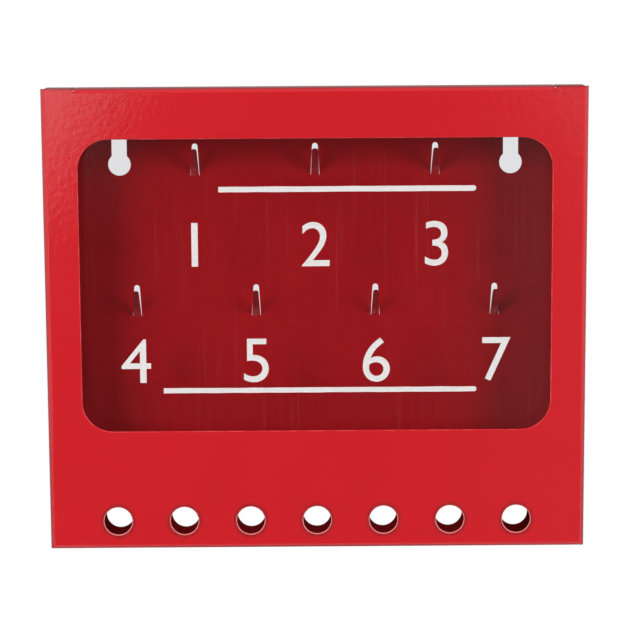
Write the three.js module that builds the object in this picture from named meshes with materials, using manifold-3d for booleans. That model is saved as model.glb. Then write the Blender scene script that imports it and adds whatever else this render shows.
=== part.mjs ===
// Group lockout box: a slim wall box for keys, in folded sheet steel, locked by padlocks.
// Millimetres, +Z up. The front faces -Y. The origin is the centre of the face that lies on the wall.
import * as THREE from 'three';
import { mergeVertices } from 'three/addons/utils/BufferGeometryUtils.js';
import Module from 'manifold-3d';

const wasm = await Module();
wasm.setup();

// Driving dimensions of the closed box
const boxWidth = 306.8;
const boxHeight = 264.2;
const boxDepth = 19.05;

// Sheet steel and its folds
const sheet = 1.2;
const foldInner = 1.8;
const foldOuter = foldInner + sheet;

// Clearances
const paintGap = 0.1;
const skirtGap = 0.6;
const stopGap = 1;
const wallGap = 0.6;
const runGap = 0.3;
const overrun = 5;

// Padlock holes, through the cover and the back panel alike
const padlockHoleRadius = 8;
const padlockHolePitch = 38.1;
const padlockHoleCount = 7;
const padlockHoleHeight = 16.4;

// Window cut-out in the cover, and the pane behind it
const windowWidth = 266.7;
const windowBottom = 68.9;
const windowTopBand = 28.5;
const windowCornerRadius = 17;
const paneLap = 11;
const paneThickness = 1.6;
const paneCornerRadius = 4;

// Weld studs that carry the pane, and the push-on nuts that hold it on them
const studInset = 6;
const studRadius = 1.5;
const studFlangeRadius = 2.3;
const studFlangeHeight = 0.8;
const studLength = 6;
const studTip = 0.4;
const studHoleGap = 0.3;
const studRowCount = 4;
const studRowReachShare = 0.75;
const nutRadius = 4.6;
const nutPlate = 0.6;
const nutHeight = 1.8;
const nutConeRadius = 3.2;
const nutGap = 0.15;

// Folds along the cover's top: a flange between two relief notches, and a tab at each corner
const reliefInset = 18.6;
const reliefWidth = 2.8;
const reliefDepth = 1.3;
const seamGap = 0.6;
const lowerCornerRadius = 1.2;

// Continuous hinge between the back panel and the cover's top flange
const hingeLength = 254;
const knuckleCount = 21;
const knuckleRadius = 2.2;
const leafSheet = 0.95;
const leafWidth = 12.7;
const pinRadius = 1.15;
const pinGap = 0.1;
const pinTip = 0.3;
const panelBelowAxis = 0.5;

// Key hooks, lanced from the back panel and bent forward. A row's drop is from the box's top to its roots
const hookPitch = 68.26;
const hookLean = THREE.MathUtils.degToRad(28);
const hookLength = 17.9;
const hookRootWidth = 4.9;
const hookTipWidth = 2.9;
const hookFold = 1;
const lanceGap = 0.15;
const hookRows = [
  { count: 3, drop: 50.4 },
  { count: 4, drop: 131.3 },
];

// Keyholes that the box hangs from
const keyholeSpacing = 222.25;
const keyholeDrop = 44;
const keyholeHeadRadius = 6.4;
const keyholeSlotWidth = 8.6;
const keyholeRise = 16;
const flangeCornerRadius = 3;

// Places that follow from the sizes above
const halfWidth = boxWidth / 2;
const skirtRear = boxDepth - wallGap;
const panelFront = boxDepth - sheet;
const axisY = panelFront - paintGap - knuckleRadius;
const axisZ = boxHeight - sheet - paintGap - knuckleRadius;
const panelTop = axisZ - panelBelowAxis;
const panelBottom = sheet + skirtGap;
const panelHalfWidth = halfWidth - sheet - skirtGap;
const reliefX = halfWidth - reliefInset;
const windowTop = boxHeight - windowTopBand;
const windowMiddle = (windowBottom + windowTop) / 2;
const keyholeHeight = boxHeight - keyholeDrop;
const paneFront = sheet + paintGap;
const paneBack = paneFront + paneThickness;

const arcSteps = 4;
const roundSteps = 32;
const smallRoundSteps = 16;

const powderCoat = { color: 0xcc2a30, roughness: 0.34, metalness: 0 };
const zincPlate = { color: 0xb9bcc0, roughness: 0.4, metalness: 0.9 };
const springSteel = { color: 0x3a3c40, roughness: 0.45, metalness: 0.85 };
const clearSheet = { color: 0xe9eef0, roughness: 0.08, metalness: 0, transparent: true, opacity: 0.25 };

// A closed geometry as a solid for cutting and joining
function solidOf(geometry) {
  geometry.deleteAttribute('normal');
  geometry.deleteAttribute('uv');
  const merged = mergeVertices(geometry);
  return new wasm.Manifold(new wasm.Mesh({
    numProp: 3,
    vertProperties: new Float32Array(merged.getAttribute('position').array),
    triVerts: new Uint32Array(merged.getIndex().array),
  }));
}

// The geometry of a solid after cutting and joining
function geometryOf(solid) {
  const mesh = solid.getMesh();
  const geometry = new THREE.BufferGeometry();
  geometry.setAttribute('position', new THREE.BufferAttribute(mesh.vertProperties, 3));
  geometry.setIndex(new THREE.BufferAttribute(mesh.triVerts, 1));
  geometry.computeVertexNormals();
  return geometry;
}

function extruded(shape, depth, steps) {
  return new THREE.ExtrudeGeometry(shape, { depth, bevelEnabled: false, curveSegments: steps });
}

// A shape drawn in X and Z, as seen from the front, made thick from one Y to another
function alongY(shape, fromY, toY, steps = arcSteps) {
  const geometry = extruded(shape, toY - fromY, steps);
  return solidOf(geometry.rotateX(Math.PI / 2).translate(0, toY, 0));
}

// A shape drawn in X and Y, as seen from above, made thick from one Z to another
function alongZ(shape, fromZ, toZ, steps = arcSteps) {
  return solidOf(extruded(shape, toZ - fromZ, steps).translate(0, 0, fromZ));
}

// A shape drawn in Y and Z, as seen from the side, made thick from one X to another
function alongX(shape, fromX, toX, steps = arcSteps) {
  const turn = new THREE.Matrix4().makeBasis(
    new THREE.Vector3(0, 1, 0),
    new THREE.Vector3(0, 0, 1),
    new THREE.Vector3(1, 0, 0),
  );
  return solidOf(extruded(shape, toX - fromX, steps).applyMatrix4(turn).translate(fromX, 0, 0));
}

// A rectangle with a radius at each corner, in the order lower left, lower right, upper right, upper left
function cornered(left, low, right, high, radii = [0, 0, 0, 0]) {
  const [lowerLeft, lowerRight, upperRight, upperLeft] = radii;
  const quarter = Math.PI / 2;
  const shape = new THREE.Shape();
  const corner = (x, y, radius, start) => {
    if (radius > 0) shape.absarc(x, y, radius, start, start + quarter, false);
    else shape.lineTo(x, y);
  };
  shape.moveTo(left + lowerLeft, low);
  corner(right - lowerRight, low + lowerRight, lowerRight, -quarter);
  corner(right - upperRight, high - upperRight, upperRight, 0);
  corner(left + upperLeft, high - upperLeft, upperLeft, quarter);
  corner(left + lowerLeft, low + lowerLeft, lowerLeft, 2 * quarter);
  return shape;
}

function disc(x, y, radius) {
  return new THREE.Shape().absarc(x, y, radius, 0, 2 * Math.PI, false);
}

function polygon(points) {
  return new THREE.Shape(points.map(([x, y]) => new THREE.Vector2(x, y)));
}

// The waste outside a round corner whose sharp point is at (x, y), reaching out along dirX and dirY
function cornerWaste(x, y, radius, dirX, dirY) {
  const centreX = x - dirX * radius;
  const centreY = y - dirY * radius;
  const start = Math.atan2(0, dirX);
  const end = Math.atan2(dirY, 0);
  const shape = new THREE.Shape();
  shape.moveTo(x, centreY);
  shape.absarc(centreX, centreY, radius, start, end, dirX * dirY < 0);
  shape.lineTo(centreX, y + dirY * overrun);
  shape.lineTo(x + dirX * overrun, y + dirY * overrun);
  shape.lineTo(x + dirX * overrun, centreY);
  return shape;
}

function placesInRow(count, pitch) {
  return Array.from({ length: count }, (_, index) => (index - (count - 1) / 2) * pitch);
}

// The seven round holes for padlock shackles
function cutPadlockHoles(solid, fromY, toY) {
  for (const x of placesInRow(padlockHoleCount, padlockHolePitch)) {
    const hole = alongY(disc(x, padlockHoleHeight, padlockHoleRadius), fromY, toY, roundSteps);
    solid = solid.subtract(hole);
  }
  return solid;
}

// The block that the folded cover fills, and the hollow inside it
function coverBlock() {
  const rearStep = skirtRear - axisY;
  const clipHeight = axisZ - panelBelowAxis - rearStep;
  const side = new THREE.Shape();
  side.moveTo(foldOuter, 0);
  side.lineTo(skirtRear, 0);
  side.lineTo(skirtRear, clipHeight - rearStep);
  side.lineTo(axisY, clipHeight);
  side.lineTo(axisY, boxHeight);
  side.lineTo(0, boxHeight);
  side.lineTo(0, foldOuter);
  side.absarc(foldOuter, foldOuter, foldOuter, Math.PI, 1.5 * Math.PI, false);
  const plan = cornered(-halfWidth, 0, halfWidth, skirtRear, [foldOuter, foldOuter, 0, 0]);
  const lower = lowerCornerRadius;
  const face = cornered(-halfWidth, 0, halfWidth, boxHeight, [lower, lower, 0, 0]);
  return alongX(side, -halfWidth, halfWidth)
    .intersect(alongZ(plan, 0, boxHeight))
    .intersect(alongY(face, 0, skirtRear));
}

function coverHollow() {
  const right = halfWidth - sheet;
  const top = boxHeight - sheet;
  const rear = skirtRear + overrun;
  const inner = foldInner;
  const side = cornered(sheet, sheet, rear, top, [inner, 0, 0, inner]);
  const plan = cornered(-right, sheet, right, rear, [inner, inner, 0, 0]);
  const face = cornered(-right, sheet, right, top, [inner, inner, inner, inner]);
  return alongX(side, -right, right)
    .intersect(alongZ(plan, sheet, top))
    .intersect(alongY(face, sheet, rear));
}

// The top's relief notches and seams, its fold between them, and the corner tabs' folds
function shapeCoverTop(cover) {
  const tabFront = sheet + foldInner;
  const seamLow = boxHeight - sheet - foldInner;
  const high = boxHeight + overrun;
  for (const side of [-1, 1]) {
    const notch = polygon([
      [side * reliefX - reliefWidth / 2, boxHeight],
      [side * reliefX - reliefWidth / 2, high],
      [side * reliefX + reliefWidth / 2, high],
      [side * reliefX + reliefWidth / 2, boxHeight],
      [side * reliefX, boxHeight - reliefDepth],
    ]);
    const seam = cornered(side * reliefX - seamGap / 2, seamLow, side * reliefX + seamGap / 2, high);
    const inner = Math.min(side * reliefX, side * (halfWidth - sheet));
    const outer = Math.max(side * reliefX, side * (halfWidth - sheet));
    const tabSlit = cornered(inner, seamLow, outer, high);
    const tabFold = cornerWaste(side * halfWidth, boxHeight, foldOuter, side, 1);
    cover = cover
      .subtract(alongY(notch, -overrun, tabFront))
      .subtract(alongY(seam, sheet, skirtRear + overrun))
      .subtract(alongY(tabSlit, sheet, tabFront))
      .subtract(alongY(tabFold, tabFront, skirtRear + overrun));
  }
  const topFold = cornerWaste(0, boxHeight, foldOuter, -1, 1);
  return cover.subtract(alongX(topFold, -reliefX, reliefX));
}

function frontCover() {
  const half = windowWidth / 2;
  const radii = [windowCornerRadius, windowCornerRadius, windowCornerRadius, windowCornerRadius];
  const opening = alongY(cornered(-half, windowBottom, half, windowTop, radii), -overrun, sheet + overrun);
  const pan = coverBlock().subtract(coverHollow()).subtract(opening);
  return geometryOf(cutPadlockHoles(shapeCoverTop(pan), -overrun, sheet + overrun));
}

// A tongue's outline as seen from the front: wide at its root and round at its tip
function tongueOutline(x, low, high, rootWidth, tipWidth) {
  const tipRadius = tipWidth / 2;
  const shape = new THREE.Shape();
  shape.moveTo(x - rootWidth / 2, low);
  shape.lineTo(x + rootWidth / 2, low);
  shape.absarc(x, high - tipRadius, tipRadius, 0, Math.PI, false);
  return shape;
}

// A tongue's section as seen from the side: up the panel, round the fold and straight on to the tip
function tongueSection(rootHeight) {
  const centreY = panelFront - hookFold;
  const outerFold = hookFold + sheet;
  const straight = hookLength - (hookFold + sheet / 2) * hookLean;
  const ahead = new THREE.Vector2(-Math.sin(hookLean), Math.cos(hookLean)).multiplyScalar(straight);
  const tipOf = (radius) => [
    centreY + radius * Math.cos(hookLean) + ahead.x,
    rootHeight + radius * Math.sin(hookLean) + ahead.y,
  ];
  const section = new THREE.Shape();
  section.moveTo(panelFront, rootHeight - sheet);
  section.lineTo(panelFront + sheet, rootHeight - sheet);
  section.absarc(centreY, rootHeight, outerFold, 0, hookLean, false);
  section.lineTo(...tipOf(outerFold));
  section.lineTo(...tipOf(hookFold));
  section.absarc(centreY, rootHeight, hookFold, hookLean, 0, true);
  return { section, tipHeight: tipOf(hookFold)[1], tipFront: tipOf(hookFold)[0] };
}

function addKeyHook(panel, x, rootHeight) {
  const { section, tipHeight, tipFront } = tongueSection(rootHeight);
  const slotTop = rootHeight + hookLength + lanceGap;
  const slotRoot = hookRootWidth + 2 * lanceGap;
  const slotTip = hookTipWidth + 2 * lanceGap;
  const slot = tongueOutline(x, rootHeight, slotTop, slotRoot, slotTip);
  const outline = tongueOutline(x, rootHeight - sheet, tipHeight, hookRootWidth, hookTipWidth);
  const strip = alongX(section, x - hookRootWidth / 2, x + hookRootWidth / 2);
  const tongue = strip.intersect(alongY(outline, tipFront - overrun, boxDepth + overrun));
  return panel.subtract(alongY(slot, panelFront - overrun, boxDepth + overrun)).add(tongue);
}

function cutKeyhole(panel, x) {
  const half = keyholeSlotWidth / 2;
  const top = keyholeHeight + keyholeRise + half;
  const slot = cornered(x - half, keyholeHeight, x + half, top, [0, 0, half, half]);
  const head = disc(x, keyholeHeight, keyholeHeadRadius);
  return panel
    .subtract(alongY(slot, panelFront - overrun, boxDepth + overrun))
    .subtract(alongY(head, panelFront - overrun, boxDepth + overrun, roundSteps));
}

function backPanel() {
  const front = sheet + stopGap;
  const outerPlan = cornered(-panelHalfWidth, front, panelHalfWidth, boxDepth, [0, 0, foldOuter, foldOuter]);
  const right = panelHalfWidth - sheet;
  const innerPlan = cornered(-right, front - overrun, right, panelFront, [0, 0, foldInner, foldInner]);
  const round = flangeCornerRadius;
  const side = cornered(front, panelBottom, boxDepth, panelTop, [round, 0, 0, round]);
  let panel = alongZ(outerPlan, panelBottom, panelTop)
    .subtract(alongZ(innerPlan, panelBottom - overrun, panelTop + overrun))
    .intersect(alongX(side, -panelHalfWidth, panelHalfWidth));
  panel = cutPadlockHoles(panel, panelFront - overrun, boxDepth + overrun);
  for (const x of placesInRow(2, keyholeSpacing)) panel = cutKeyhole(panel, x);
  for (const row of hookRows) {
    const root = boxHeight - row.drop;
    for (const x of placesInRow(row.count, hookPitch)) panel = addKeyHook(panel, x, root);
  }
  return geometryOf(panel);
}

// Where the studs stand: a row above the window, a row below it, and one at each side
function studPlaces() {
  const sideX = windowWidth / 2 + studInset;
  const reach = windowWidth * studRowReachShare;
  const row = placesInRow(studRowCount, reach / (studRowCount - 1));
  return [
    ...row.map((x) => [x, windowTop + studInset]),
    ...row.map((x) => [x, windowBottom - studInset]),
    [-sideX, windowMiddle],
    [sideX, windowMiddle],
  ];
}

function windowPane() {
  const half = windowWidth / 2 + paneLap;
  const radii = [paneCornerRadius, paneCornerRadius, paneCornerRadius, paneCornerRadius];
  const outline = cornered(-half, windowBottom - paneLap, half, windowTop + paneLap, radii);
  let pane = alongY(outline, paneFront, paneBack);
  for (const [x, z] of studPlaces()) {
    const hole = disc(x, z, studFlangeRadius + studHoleGap);
    pane = pane.subtract(alongY(hole, paneFront - overrun, paneBack + overrun));
  }
  return geometryOf(pane);
}

// A profile of radius and height turned about +Y
function turned(profile) {
  return new THREE.LatheGeometry(profile.map(([x, y]) => new THREE.Vector2(x, y)), smallRoundSteps);
}

function weldStud() {
  return turned([
    [0, 0],
    [studFlangeRadius, 0],
    [studFlangeRadius, studFlangeHeight],
    [studRadius, studFlangeHeight],
    [studRadius, studLength - studTip],
    [studRadius - studTip, studLength],
    [0, studLength],
  ]);
}

// A round push-on nut: a flat rim and a cone that grips the stud
function pushNut() {
  const bore = studRadius + nutGap;
  return turned([
    [nutConeRadius - nutPlate, 0],
    [nutRadius, 0],
    [nutRadius, nutPlate],
    [nutConeRadius, nutPlate],
    [bore + nutPlate, nutHeight],
    [bore, nutHeight],
    [bore, nutHeight - nutPlate],
    [nutConeRadius - nutPlate, 0],
  ]);
}

// One leaf of the hinge, about an axis at zero. The fixed leaf hangs down, the moving one reaches forward
function hingeLeaf(moving) {
  const reach = (near, far) => (moving
    ? cornered(-far, knuckleRadius - leafSheet, -near, knuckleRadius)
    : cornered(knuckleRadius - leafSheet, -far, knuckleRadius, -near));
  const pitch = hingeLength / knuckleCount;
  const clear = knuckleRadius + runGap;
  let leaf = alongX(reach(clear, leafWidth), -hingeLength / 2, hingeLength / 2);
  const knuckles = placesInRow(knuckleCount, pitch).filter((_, index) => (index % 2 === 1) === moving);
  for (const x of knuckles) {
    const from = x - (pitch - runGap) / 2;
    const to = x + (pitch - runGap) / 2;
    leaf = leaf
      .add(alongX(reach(0, leafWidth), from, to))
      .add(alongX(disc(0, 0, knuckleRadius), from, to, arcSteps * 2));
  }
  const bore = disc(0, 0, pinRadius + pinGap);
  return geometryOf(leaf.subtract(alongX(bore, -hingeLength, hingeLength, arcSteps * 2)));
}

function hingePin() {
  const half = hingeLength / 2;
  return turned([
    [0, -half],
    [pinRadius - pinTip, -half],
    [pinRadius, pinTip - half],
    [pinRadius, half - pinTip],
    [pinRadius - pinTip, half],
    [0, half],
  ]).rotateZ(-Math.PI / 2);
}

function piece(name, geometry, finish, place = [0, 0, 0]) {
  const mesh = new THREE.Mesh(geometry, new THREE.MeshStandardMaterial(finish));
  mesh.name = name;
  mesh.position.set(...place);
  return mesh;
}

// All pieces stand in a frame at the middle of the front's lower edge, moved to the wall face's centre
const group = new THREE.Group();
group.position.set(0, -boxDepth, -boxHeight / 2);

const axisPlace = [0, axisY, axisZ];
group.add(piece('back_panel', backPanel(), powderCoat));
group.add(piece('front_cover', frontCover(), powderCoat));
group.add(piece('window_pane', windowPane(), clearSheet));
group.add(piece('fixed_hinge_leaf', hingeLeaf(false), powderCoat, axisPlace));
group.add(piece('moving_hinge_leaf', hingeLeaf(true), powderCoat, axisPlace));
group.add(piece('hinge_pin', hingePin(), zincPlate, axisPlace));
studPlaces().forEach(([x, z], index) => {
  group.add(piece(`window_stud_${index + 1}`, weldStud(), zincPlate, [x, sheet + paintGap, z]));
  group.add(piece(`push_nut_${index + 1}`, pushNut(), springSteel, [x, paneBack + paintGap, z]));
});

export default group;
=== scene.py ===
import math

import bmesh
import bpy
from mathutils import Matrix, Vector, noise


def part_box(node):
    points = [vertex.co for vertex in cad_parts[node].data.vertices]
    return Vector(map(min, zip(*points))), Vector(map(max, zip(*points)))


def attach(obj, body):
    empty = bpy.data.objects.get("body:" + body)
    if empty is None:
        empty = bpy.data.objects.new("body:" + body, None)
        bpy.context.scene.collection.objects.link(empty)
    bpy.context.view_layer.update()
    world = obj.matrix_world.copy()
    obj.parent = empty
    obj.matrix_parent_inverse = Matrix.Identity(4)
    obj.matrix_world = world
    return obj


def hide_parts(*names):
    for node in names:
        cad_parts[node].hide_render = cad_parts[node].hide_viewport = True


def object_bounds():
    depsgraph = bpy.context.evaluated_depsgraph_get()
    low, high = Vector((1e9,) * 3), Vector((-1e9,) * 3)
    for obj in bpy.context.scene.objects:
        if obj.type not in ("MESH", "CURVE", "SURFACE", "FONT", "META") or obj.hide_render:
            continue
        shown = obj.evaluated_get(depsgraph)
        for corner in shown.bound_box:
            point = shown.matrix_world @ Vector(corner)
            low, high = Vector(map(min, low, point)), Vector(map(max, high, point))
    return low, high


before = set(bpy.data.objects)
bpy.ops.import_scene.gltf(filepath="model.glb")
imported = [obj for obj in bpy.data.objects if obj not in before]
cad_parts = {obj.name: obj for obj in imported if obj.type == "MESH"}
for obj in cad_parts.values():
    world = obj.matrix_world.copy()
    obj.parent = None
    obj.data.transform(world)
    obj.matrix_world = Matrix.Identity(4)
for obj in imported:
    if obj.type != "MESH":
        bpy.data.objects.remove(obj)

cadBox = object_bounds()
scene = bpy.context.scene
print("frame loaded with", len(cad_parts), "nodes")


# The camera stands a little above the box and looks down at it

photoCamera = {
    "place": (-0.0051, -1.3038, 0.2084),
    "turnDegrees": (80.942, 0.340, -0.256),
    "lens": 131.22,
    "sensorWidth": 36,
    "clip": (0.05, 40),
}


def placeCamera(values):
    lens = bpy.data.cameras.new("photoCamera")
    lens.lens = values["lens"]
    lens.sensor_width = values["sensorWidth"]
    lens.clip_start, lens.clip_end = values["clip"]
    camera = bpy.data.objects.new("photoCamera", lens)
    camera.location = values["place"]
    camera.rotation_euler = [math.radians(a) for a in values["turnDegrees"]]
    scene.collection.objects.link(camera)
    scene.camera = camera


placeCamera(photoCamera)


# Short ways to add nodes and links


def addNode(tree, kind, x, y, **settings):
    made = tree.nodes.new(kind)
    made.location = (x, y)
    for key, value in settings.items():
        setattr(made, key, value)
    return made


def feed(tree, target, source):
    # a socket is linked, anything else is written on the target
    if isinstance(source, bpy.types.NodeSocket):
        tree.links.new(source, target)
    else:
        target.default_value = source


def mathNode(tree, operation, first, second, x, y, clamp=False):
    made = addNode(tree, "ShaderNodeMath", x, y, operation=operation, use_clamp=clamp)
    feed(tree, made.inputs[0], first)
    if second is not None:
        feed(tree, made.inputs[1], second)
    return made.outputs[0]


def plus(tree, first, second, x, y, clamp=False):
    return mathNode(tree, "ADD", first, second, x, y, clamp)


def minus(tree, first, second, x, y):
    return mathNode(tree, "SUBTRACT", first, second, x, y)


def times(tree, first, second, x, y, clamp=False):
    return mathNode(tree, "MULTIPLY", first, second, x, y, clamp)


def over(tree, first, second, x, y):
    return mathNode(tree, "DIVIDE", first, second, x, y)


def most(tree, first, second, x, y):
    return mathNode(tree, "MAXIMUM", first, second, x, y)


def least(tree, first, second, x, y):
    return mathNode(tree, "MINIMUM", first, second, x, y)


def fadeNode(tree, value, low, high, x, y, start=0.0, end=1.0):
    made = addNode(tree, "ShaderNodeMapRange", x, y, interpolation_type="SMOOTHSTEP")
    names = ("Value", "From Min", "From Max", "To Min", "To Max")
    for name, source in zip(names, (value, low, high, start, end)):
        feed(tree, made.inputs[name], source)
    return made.outputs["Result"]


def mixColour(tree, share, first, second, x, y):
    made = addNode(tree, "ShaderNodeMix", x, y, data_type="RGBA")
    feed(tree, made.inputs[0], share)
    feed(tree, made.inputs[6], first)
    feed(tree, made.inputs[7], second)
    return made.outputs[2]


def mixValue(tree, share, first, second, x, y):
    made = addNode(tree, "ShaderNodeMix", x, y, data_type="FLOAT")
    feed(tree, made.inputs[0], share)
    feed(tree, made.inputs[2], first)
    feed(tree, made.inputs[3], second)
    return made.outputs[0]


def mixShaders(tree, share, first, second, x, y):
    made = addNode(tree, "ShaderNodeMixShader", x, y)
    for target, source in zip(made.inputs, (share, first, second)):
        feed(tree, target, source)
    return made.outputs[0]


def noiseNode(tree, place, scale, detail, x, y):
    made = addNode(tree, "ShaderNodeTexNoise", x, y)
    for name, source in (("Vector", place), ("Scale", scale), ("Detail", detail)):
        feed(tree, made.inputs[name], source)
    return made.outputs["Fac"]


def objectPlace(tree, x, y):
    return addNode(tree, "ShaderNodeTexCoord", x, y).outputs["Object"]


def splitPlace(tree, place, x, y):
    made = addNode(tree, "ShaderNodeSeparateXYZ", x, y)
    feed(tree, made.inputs[0], place)
    return made.outputs[0], made.outputs[1], made.outputs[2]


def joinPlace(tree, parts, x, y):
    made = addNode(tree, "ShaderNodeCombineXYZ", x, y)
    for target, part in zip(made.inputs, parts):
        feed(tree, target, part)
    return made.outputs[0]


def lengthNode(tree, place, x, y):
    made = addNode(tree, "ShaderNodeVectorMath", x, y, operation="LENGTH")
    feed(tree, made.inputs[0], place)
    return made.outputs["Value"]


def newGroup(name, inputs, outputName, outputKind):
    tree = bpy.data.node_groups.new(name, "ShaderNodeTree")
    for label, kind, value in inputs:
        made = tree.interface.new_socket(label, in_out="INPUT", socket_type=kind)
        if value is not None:
            made.default_value = value
    tree.interface.new_socket(outputName, in_out="OUTPUT", socket_type=outputKind)
    start = addNode(tree, "NodeGroupInput", -900, 0)
    end = addNode(tree, "NodeGroupOutput", 700, 0)
    return tree, start.outputs, end.inputs[0]


def useGroup(tree, group, x, y, **values):
    # each group has one output
    made = addNode(tree, "ShaderNodeGroup", x, y, node_tree=group)
    made.width = 190
    for key, value in values.items():
        feed(tree, made.inputs[key], value)
    return made.outputs[0]


floatKind, colourKind, vectorKind = "NodeSocketFloat", "NodeSocketColor", "NodeSocketVector"


def paintMottleGroup():
    # slow and quick changes in how light or dark the paint is
    tree, given, out = newGroup(
        "paintMottle",
        [("Colour", colourKind, None), ("Amount", floatKind, 0.06), ("Size", floatKind, 0.03)],
        "Colour", colourKind,
    )
    quickRate, quickShare, middle, gain = 17.0, 0.4, 0.7, 2.4
    place = objectPlace(tree, -900, -300)
    often = over(tree, 1.0, given["Size"], -720, -160)
    slow = noiseNode(tree, place, often, 3, -520, -100)
    quick = noiseNode(tree, place, times(tree, often, quickRate, -700, -420), 5, -520, -400)
    cloud = plus(tree, slow, times(tree, quick, quickShare, -340, -380), -180, -200)
    swing = times(tree, minus(tree, cloud, middle, -20, -200), given["Amount"], 140, -160)
    scaled = addNode(tree, "ShaderNodeVectorMath", 520, 0, operation="SCALE")
    feed(tree, scaled.inputs[0], given["Colour"])
    feed(tree, scaled.inputs["Scale"], plus(tree, times(tree, swing, gain, 240, -260), 1.0, 380, -200))
    feed(tree, out, scaled.outputs[0])
    return tree


def patchyValueGroup():
    # a value that wanders between two others, for sheen that isn't even
    tree, given, out = newGroup(
        "patchyValue",
        [("Low", floatKind, 0.2), ("High", floatKind, 0.4), ("Size", floatKind, 0.02)],
        "Value", floatKind,
    )
    cloudLow, cloudHigh = 0.25, 0.75
    often = over(tree, 1.0, given["Size"], -700, -160)
    cloud = noiseNode(tree, objectPlace(tree, -900, -300), often, 3, -500, -100)
    feed(tree, out, fadeNode(tree, cloud, cloudLow, cloudHigh, 0, 0, given["Low"], given["High"]))
    return tree


def orangePeelGroup():
    # the soft dimples that powder coat sets with, and finer ones between them
    tree, given, out = newGroup(
        "orangePeel",
        [("Wave", floatKind, 0.003), ("Fine Share", floatKind, 0.25)],
        "Height", floatKind,
    )
    fineRate = 4.3
    place = objectPlace(tree, -900, -300)
    often = over(tree, 1.0, given["Wave"], -720, -160)
    dimples = noiseNode(tree, place, often, 1.5, -500, 0)
    fine = noiseNode(tree, place, times(tree, often, fineRate, -700, -360), 2, -500, -320)
    feed(tree, out, plus(tree, dimples, times(tree, fine, given["Fine Share"], -200, -200), 0, 0))
    return tree


def dustSpecksGroup():
    # specks in some of the cells of a fine mesh of cells
    tree, given, out = newGroup(
        "dustSpecks",
        [("Spacing", floatKind, 0.006), ("Share", floatKind, 0.1), ("Radius", floatKind, 0.08)],
        "Mask", floatKind,
    )
    cells = addNode(tree, "ShaderNodeTexVoronoi", -500, 0)
    feed(tree, cells.inputs["Vector"], objectPlace(tree, -900, -300))
    feed(tree, cells.inputs["Scale"], over(tree, 1.0, given["Spacing"], -700, -160))
    pick = addNode(tree, "ShaderNodeSeparateColor", -300, -200)
    feed(tree, pick.inputs[0], cells.outputs["Color"])
    chosen = mathNode(tree, "LESS_THAN", pick.outputs[0], given["Share"], -100, -200)
    reach = times(tree, pick.outputs[1], given["Radius"], -100, -380)
    near = fadeNode(tree, cells.outputs["Distance"], 0.0, reach, 100, 60, 1.0, 0.0)
    feed(tree, out, times(tree, near, chosen, 320, 0, clamp=True))
    return tree


def edgeWearGroup():
    # where the coat runs thin: on the bent and cut edges, in broken stretches
    tree, given, out = newGroup(
        "edgeWear",
        [("Amount", floatKind, 0.5), ("Size", floatKind, 0.004)],
        "Mask", floatKind,
    )
    brokenLow, brokenHigh = 0.42, 0.66
    marked = addNode(tree, "ShaderNodeAttribute", -500, 100, attribute_name="edgeMark")
    often = over(tree, 1.0, given["Size"], -700, -260)
    broken = noiseNode(tree, objectPlace(tree, -900, -300), often, 4, -500, -200)
    worn = times(tree, fadeNode(tree, broken, brokenLow, brokenHigh, -260, -160), given["Amount"], -40, -100)
    feed(tree, out, times(tree, worn, marked.outputs["Fac"], 200, 0, clamp=True))
    return tree


def spotRowGroup():
    # a row of round spots along X: weld marks, or the rings round holes for rub marks and painted shade
    tree, given, out = newGroup(
        "spotRow",
        [
            ("Place", vectorKind, None),
            ("Pitch", floatKind, 0.04),
            ("Count", floatKind, 7.0),
            ("Inner", floatKind, 0.002),
            ("Outer", floatKind, 0.004),
        ],
        "Mask", floatKind,
    )
    away = addNode(tree, "ShaderNodeVectorMath", -900, -200, operation="SUBTRACT")
    feed(tree, away.inputs[0], objectPlace(tree, -1100, -300))
    feed(tree, away.inputs[1], given["Place"])
    across, deep, up = splitPlace(tree, away.outputs[0], -740, -200)
    last = minus(tree, given["Count"], 1.0, -740, -420)
    step = over(tree, across, given["Pitch"], -560, -60)
    step = mathNode(tree, "ROUND", step, None, -420, -60)
    step = most(tree, least(tree, step, last, -280, -60), 0.0, -140, -60)
    across = minus(tree, across, times(tree, step, given["Pitch"], 0, -60), 140, 0)
    far = lengthNode(tree, joinPlace(tree, (across, deep, up), 260, -160), 400, -160)
    feed(tree, out, fadeNode(tree, far, given["Inner"], given["Outer"], 540, 0, 1.0, 0.0))
    return tree


def hairlineGroup():
    # fine upright streaks, as a cloth leaves on a clear sheet and a brush on metal
    tree, given, out = newGroup(
        "hairlines",
        [("Width", floatKind, 0.002), ("Length", floatKind, 0.08), ("Threshold", floatKind, 0.6)],
        "Mask", floatKind,
    )
    softness = 0.12
    across, deep, up = splitPlace(tree, objectPlace(tree, -1100, -300), -920, -200)
    across = over(tree, across, given["Width"], -740, -60)
    deep = over(tree, deep, given["Width"], -740, -220)
    up = over(tree, up, given["Length"], -740, -380)
    lines = noiseNode(tree, joinPlace(tree, (across, deep, up), -560, -160), 1, 3, -360, 0)
    full = plus(tree, given["Threshold"], softness, -160, -200)
    feed(tree, out, fadeNode(tree, lines, given["Threshold"], full, 60, 0))
    return tree


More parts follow.
